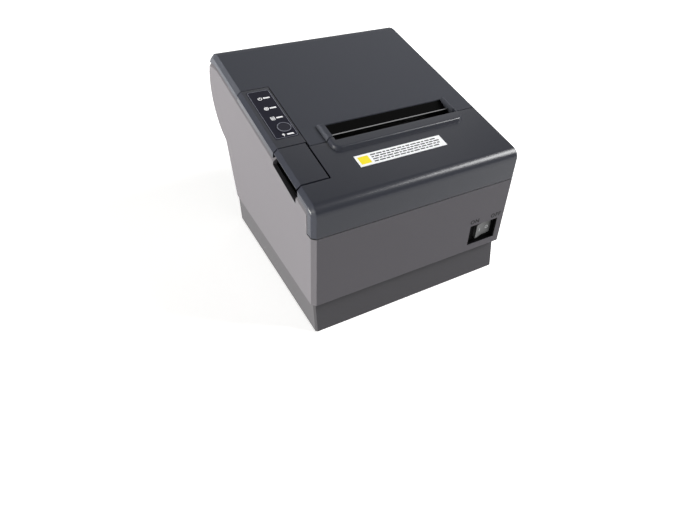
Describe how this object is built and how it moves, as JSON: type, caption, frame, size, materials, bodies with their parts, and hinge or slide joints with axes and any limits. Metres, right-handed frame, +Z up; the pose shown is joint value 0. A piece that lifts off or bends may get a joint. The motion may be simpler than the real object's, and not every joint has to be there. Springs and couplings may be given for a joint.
{
  "type": "receipt printer",
  "caption": "Desktop thermal receipt printer with a hinged paper cover, sliding cutter cover, open lever, feed button, power rocker and a paper slot with a tear edge.",
  "frame": {"origin": "on the floor, under the middle of the bounding box", "axes": "+X to the printer's right seen from its front, +Y to the back, +Z up; the front faces -Y"},
  "size_m": [0.145, 0.17, 0.1237],
  "materials": {
    "case_plastic": "moulded with a fine grain",
    "cover_plastic": "moulded with a fine grain",
    "tray_plastic": "moulded with a fine grain",
    "black_plastic": "moulded, smooth",
    "overlay_film": "printed film, satin",
    "button_plastic": "moulded, smooth",
    "label_film": "plain white film",
    "foot_rubber": "moulded",
    "roller_rubber": "ground",
    "steel": "bright",
    "sheet_steel": "zinc plated",
    "blade_steel": "ground",
    "sink_aluminium": "as drawn",
    "gear_plastic": "moulded",
    "bush_plastic": "moulded",
    "head_ceramic": "glazed",
    "board_laminate": "lacquered",
    "socket_plastic": "moulded",
    "socket_metal": "tin plated",
    "light_lens": "clear"
  },
  "bodies": {
    "case": {"main_case": "case_plastic", "base_tray": "tray_plastic", "rubber_feet": "foot_rubber", "case_screws": "steel", "cover_hinge_pins": "steel", "control_panel_frame": "cover_plastic", "panel_overlay": "overlay_film", "panel_board": "board_laminate", "feed_switch": "socket_plastic", "status_leds": "light_lens", "lever_pin": "steel", "lever_bracket": "black_plastic", "power_switch_housing": "black_plastic", "mechanism_frame": "sheet_steel", "head_pivot_pin": "steel", "head_springs": "steel", "feed_motor": "sheet_steel", "gear_stud": "steel", "cutter_frame": "sheet_steel", "cutter_motor": "sheet_steel", "paper_bucket": "black_plastic", "near_end_sensor": "socket_plastic", "cover_switch": "socket_plastic", "main_board": "board_laminate", "board_screws": "steel", "power_socket": "socket_plastic", "usb_socket": "socket_metal", "drawer_socket": "socket_plastic", "buzzer": "socket_plastic"},
    "lid": {"rear_cover": "cover_plastic", "platen_bushes": "bush_plastic", "cover_inner_frame": "black_plastic", "fixed_blade": "blade_steel"},
    "platen": {"platen_roller": "roller_rubber", "platen_shaft": "steel", "platen_gear": "gear_plastic"},
    "idler": {"reduction_gear": "gear_plastic"},
    "motor_rotor": {"motor_pinion": "steel"},
    "cutter_blade": {"moving_blade": "blade_steel", "blade_carrier": "gear_plastic"},
    "cutter_drive": {"cutter_pinion": "gear_plastic"},
    "latch": {"latch_shaft": "steel", "latch_hooks": "steel"},
    "lever": {"open_lever": "cover_plastic"},
    "cutter_cover": {"front_cover": "cover_plastic", "blank_label": "label_film"},
    "head": {"print_head": "head_ceramic", "head_heat_sink": "sink_aluminium"},
    "button": {"feed_button": "button_plastic"},
    "rocker": {"power_rocker": "black_plastic"}
  },
  "joints": [
    {"name": "lid_hinge", "type": "hinge", "parent": "case", "child": "lid", "pos_m": [0, 0.06549, 0.06901], "axis": [-1, 0, 0], "range_deg": [0, 85]},
    {"name": "platen_spin", "type": "hinge", "parent": "lid", "child": "platen", "pos_m": [0, -0.028, 0.0905], "axis": [1, 0, 0], "continuous": true},
    {"name": "idler_spin", "type": "hinge", "parent": "case", "child": "idler", "pos_m": [-0.042, -0.03064, 0.07806], "axis": [1, 0, 0], "continuous": true},
    {"name": "motor_spin", "type": "hinge", "parent": "case", "child": "motor_rotor", "pos_m": [-0.042, -0.03633, 0.06736], "axis": [1, 0, 0], "continuous": true},
    {"name": "blade_slide", "type": "slide", "parent": "case", "child": "cutter_blade", "axis": [0, 0.9824, 0.1867], "range_m": [0, 0.01]},
    {"name": "cutter_pinion_turn", "type": "hinge", "parent": "case", "child": "cutter_drive", "pos_m": [0.0425, -0.06397, 0.08086], "axis": [-1, 0, 0], "range_deg": [0, 120]},
    {"name": "latch_turn", "type": "hinge", "parent": "case", "child": "latch", "pos_m": [0, -0.043, 0.08], "axis": [1, 0, 0], "range_deg": [0, 10.5]},
    {"name": "lever_lift", "type": "hinge", "parent": "case", "child": "lever", "pos_m": [-0.0542, -0.04922, 0.09966], "axis": [0, 0.9824, 0.1867], "range_deg": [0, 20], "stiffness_Nm_per_rad": 0.05, "springref_deg": -11.46},
    {"name": "cutter_cover_slide", "type": "slide", "parent": "case", "child": "cutter_cover", "axis": [0, -1, 0], "range_m": [0, 0.025]},
    {"name": "head_tilt", "type": "hinge", "parent": "case", "child": "head", "pos_m": [0, -0.0375, 0.0788], "axis": [1, 0, 0], "range_deg": [0, 3], "stiffness_Nm_per_rad": 1, "springref_deg": -5.73, "deforming": ["head_springs"]},
    {"name": "feed_button_press", "type": "slide", "parent": "case", "child": "button", "axis": [0, 0.1867, -0.9824], "range_m": [0, 0.0007], "stiffness_N_per_m": 300, "springref_m": -0.001},
    {"name": "power_rocker_tip", "type": "hinge", "parent": "case", "child": "rocker", "pos_m": [0.0558, -0.0803, 0.0375], "axis": [0, 0, -1], "range_deg": [0, 16]}
  ],
  "couplings": [
    {"joint": "idler_spin", "follows": "platen_spin", "ratio": -2},
    {"joint": "motor_spin", "follows": "platen_spin", "ratio": 6},
    {"joint": "cutter_pinion_turn", "follows": "blade_slide", "rad_per_m": 208.33},
    {"joint": "latch_turn", "follows": "lever_lift", "ratio": 0.5}
  ]
}
